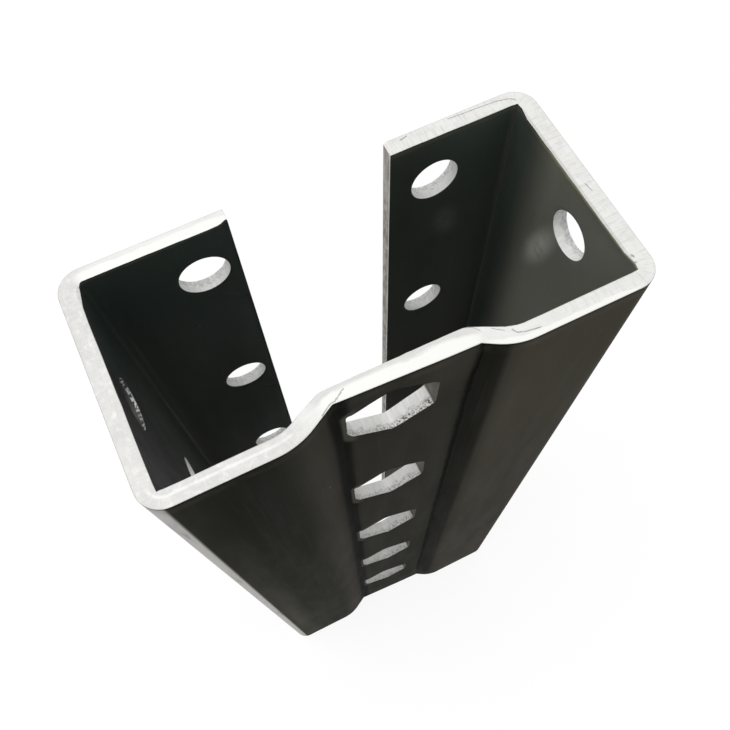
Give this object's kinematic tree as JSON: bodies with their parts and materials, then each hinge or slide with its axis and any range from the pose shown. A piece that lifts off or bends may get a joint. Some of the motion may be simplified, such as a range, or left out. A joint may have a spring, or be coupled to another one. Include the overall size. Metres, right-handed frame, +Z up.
{
  "type": "steel channel",
  "caption": "Short cold-formed steel channel with a grooved web, in-turned lips, hexagonal openings down the web and round bolt holes down the flanges and lips.",
  "frame": {"origin": "middle of the section's outline, at the lower cut end", "axes": "+Z up along the channel, -Y out of the web's grooved face, +Y out of the open side between the lips, +X across the web from the wider lip's side to the narrower lip's side"},
  "size_m": [0.1, 0.05, 0.255],
  "materials": {
    "channel_steel": "black mill scale on the faces, bare bright steel on the sawn ends and punched walls"
  },
  "bodies": {
    "root": {"channel": "channel_steel"}
  },
  "joints": []
}
